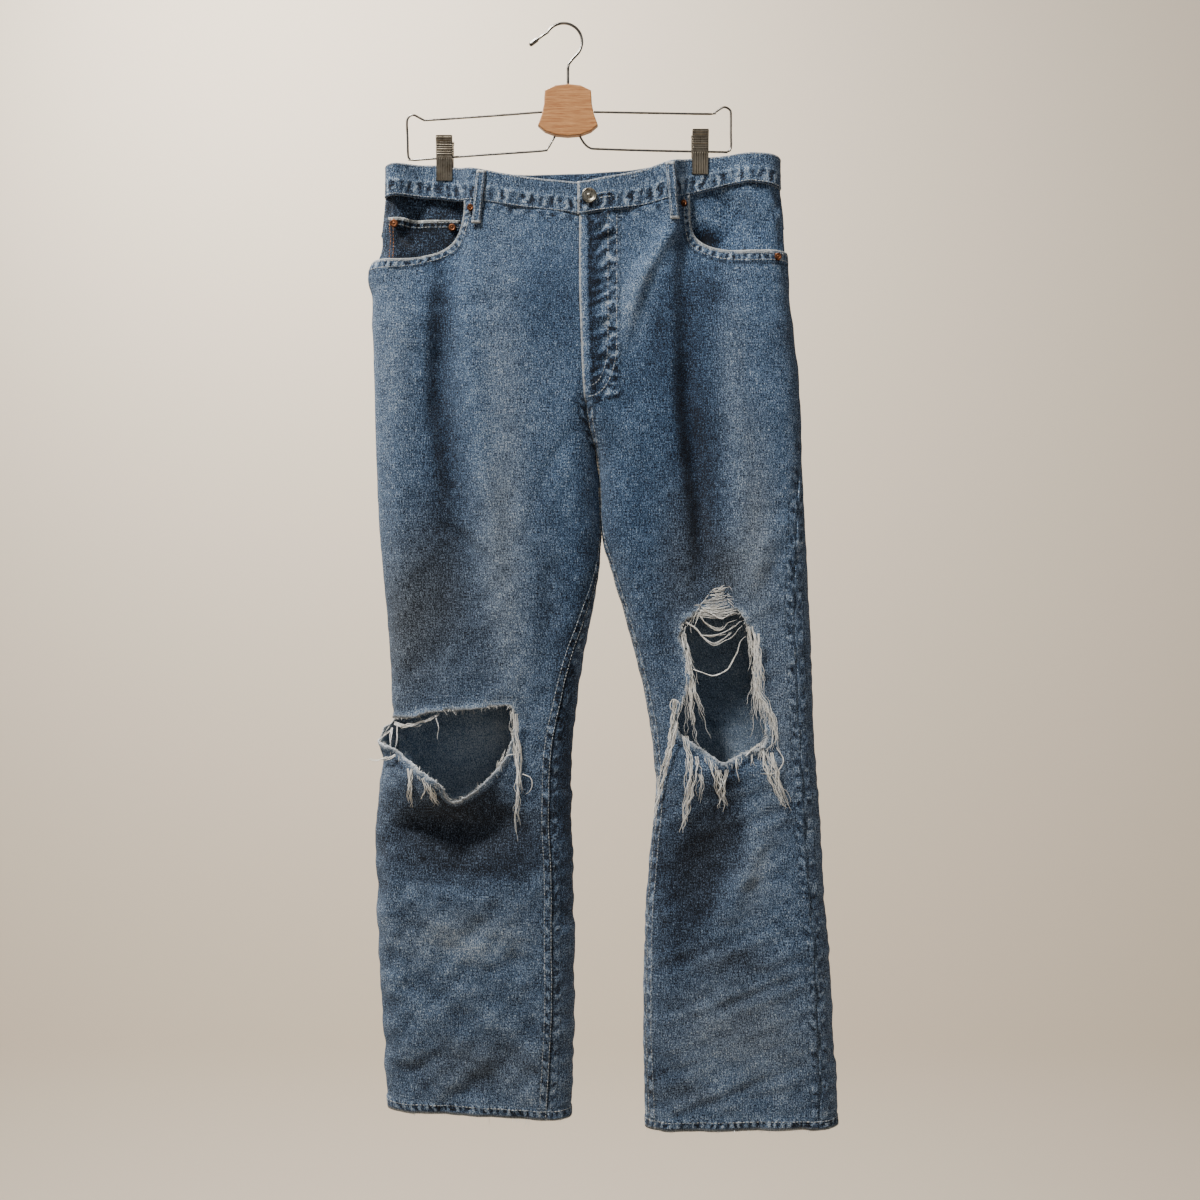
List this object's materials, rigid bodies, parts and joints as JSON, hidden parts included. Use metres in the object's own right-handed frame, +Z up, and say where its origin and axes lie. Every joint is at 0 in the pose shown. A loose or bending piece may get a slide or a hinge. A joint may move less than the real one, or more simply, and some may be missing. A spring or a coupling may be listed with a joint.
{
  "type": "ripped jeans on a clip hanger",
  "caption": "Washed five-pocket jeans with both knees torn open, hung flat by the waistband from two clips on a wire hanger.",
  "frame": {"origin": "inside of the hook's crown, where a rod or peg carries the hanger", "axes": "+Z up; +X to the right of someone facing the front of the jeans, which is the wearer's left; the front of the jeans faces -Y"},
  "size_m": [0.5405, 0.0882, 1.2676],
  "materials": {
    "denim": "washed mid-blue denim",
    "pocket_denim": "darker, less worn denim",
    "yarn": "frayed off-white cotton yarn",
    "copper": "tarnished copper",
    "nickel": "worn nickel plate",
    "steel": "dark steel wire",
    "wood": "satin varnish"
  },
  "bodies": {
    "root": {"back_panel_left": "denim", "back_panel_right": "denim", "back_pocket_left": "denim", "back_pocket_right": "denim", "back_yoke_left": "denim", "back_yoke_right": "denim", "belt_loop_back_centre": "denim", "belt_loop_back_left": "denim", "belt_loop_back_right": "denim", "belt_loop_front_left": "denim", "belt_loop_front_right": "denim", "clip_left_back_jaw": "nickel", "clip_left_front_jaw": "nickel", "clip_left_spring": "steel", "clip_right_back_jaw": "nickel", "clip_right_front_jaw": "nickel", "clip_right_spring": "steel", "coin_pocket": "pocket_denim", "fly_shield": "pocket_denim", "fringe_left_knee_1": "yarn", "fringe_left_knee_2": "yarn", "fringe_left_knee_3": "yarn", "fringe_left_knee_4": "yarn", "fringe_left_knee_5": "yarn", "fringe_right_knee_1": "yarn", "fringe_right_knee_2": "yarn", "fringe_right_knee_3": "yarn", "fringe_right_knee_4": "yarn", "front_panel_left": "denim", "front_panel_right": "denim", "hanger_hook": "steel", "hanger_hook_tip": "steel", "hanger_plate": "wood", "hanger_wire_left": "steel", "hanger_wire_right": "steel", "pocket_facing_left": "denim", "pocket_facing_right": "denim", "rivet_coin_inner": "copper", "rivet_coin_outer": "copper", "rivet_mouth_left": "copper", "rivet_mouth_right": "copper", "rivet_side_left": "copper", "waist_button": "nickel", "waistband": "denim"}
  },
  "joints": []
}
